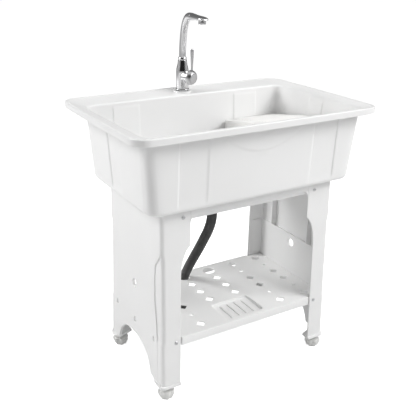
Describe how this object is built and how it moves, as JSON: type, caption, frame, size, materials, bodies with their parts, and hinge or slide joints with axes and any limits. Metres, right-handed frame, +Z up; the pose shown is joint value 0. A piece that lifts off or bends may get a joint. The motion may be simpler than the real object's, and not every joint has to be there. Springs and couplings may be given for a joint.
{
  "type": "utility laundry sink",
  "caption": "Free-standing white plastic laundry sink with a ribbed lift-out washboard, slotted shelf stand on levelling feet, chrome swivel tap and corrugated drain hose.",
  "frame": {"origin": "on the floor, under the middle of the rim", "axes": "+Z up, front of the sink towards -Y, long side along X"},
  "size_m": [0.8, 0.532, 1.0675],
  "materials": {
    "basin_plastic": "moulded white, soft gloss",
    "board_plastic": "warm white, soft gloss",
    "stand_plastic": "moulded white, satin",
    "foot_plastic": "off-white, satin",
    "hose_plastic": "grey corrugated",
    "rubber": "black",
    "chrome": "polished",
    "steel": "satin",
    "brass": "plain"
  },
  "bodies": {
    "stand": {"basin": "basin_plastic", "left_side_panel": "stand_plastic", "right_side_panel": "stand_plastic", "front_rail": "stand_plastic", "rear_rail": "stand_plastic", "shelf": "stand_plastic", "rail_screw_front_left": "steel", "shelf_screw_front_left": "steel", "rail_screw_front_right": "steel", "shelf_screw_front_right": "steel", "rail_screw_rear_left": "steel", "shelf_screw_rear_left": "steel", "rail_screw_rear_right": "steel", "shelf_screw_rear_right": "steel", "drain_flange": "steel", "drain_gasket": "rubber", "drain_locknut": "stand_plastic", "drain_tailpiece": "stand_plastic", "hose_coupling": "stand_plastic", "drain_hose": "hose_plastic", "hose_end_cuff": "rubber", "tap_gasket": "rubber", "tap_base_ring": "chrome", "tap_shank": "brass", "tap_clamp_washer": "steel", "tap_nut": "brass", "tap_body": "chrome", "tap_cartridge": "brass"},
    "washboard": {"washboard": "board_plastic"},
    "strainer": {"strainer_basket": "steel"},
    "spout": {"spout_collar": "chrome", "spout_pipe": "chrome", "spout_head": "chrome", "aerator": "chrome", "aerator_screen": "stand_plastic"},
    "cartridge_spindle": {"lever_stem": "brass"},
    "lever": {"lever_cap": "chrome", "lever_stick": "chrome"},
    "foot_front_left": {"foot_front_left": "foot_plastic"},
    "foot_front_right": {"foot_front_right": "foot_plastic"},
    "foot_rear_left": {"foot_rear_left": "foot_plastic"},
    "foot_rear_right": {"foot_rear_right": "foot_plastic"}
  },
  "joints": [
    {"name": "washboard_lift", "type": "slide", "parent": "stand", "child": "washboard", "axis": [0, 0, 1], "range_m": [0, 0.15]},
    {"name": "strainer_lift", "type": "slide", "parent": "stand", "child": "strainer", "axis": [0, 0, 1], "range_m": [0, 0.12]},
    {"name": "spout_swivel", "type": "hinge", "parent": "stand", "child": "spout", "pos_m": [0, 0.224, 0.92], "axis": [0, 0, 1], "range_deg": [-110, 110]},
    {"name": "lever_temperature", "type": "hinge", "parent": "stand", "child": "cartridge_spindle", "pos_m": [0.01094, 0.19393, 0.867], "axis": [0.342, -0.9397, 0], "range_deg": [-45, 45]},
    {"name": "lever_flow", "type": "hinge", "parent": "cartridge_spindle", "child": "lever", "pos_m": [0.01094, 0.19393, 0.867], "axis": [0.9397, 0.342, 0], "range_deg": [0, 20]},
    {"name": "foot_level_front_left", "type": "slide", "parent": "stand", "child": "foot_front_left", "axis": [0, 0, -1], "range_m": [0, 0.015]},
    {"name": "foot_level_front_right", "type": "slide", "parent": "stand", "child": "foot_front_right", "axis": [0, 0, -1], "range_m": [0, 0.015]},
    {"name": "foot_level_rear_left", "type": "slide", "parent": "stand", "child": "foot_rear_left", "axis": [0, 0, -1], "range_m": [0, 0.015]},
    {"name": "foot_level_rear_right", "type": "slide", "parent": "stand", "child": "foot_rear_right", "axis": [0, 0, -1], "range_m": [0, 0.015]}
  ]
}
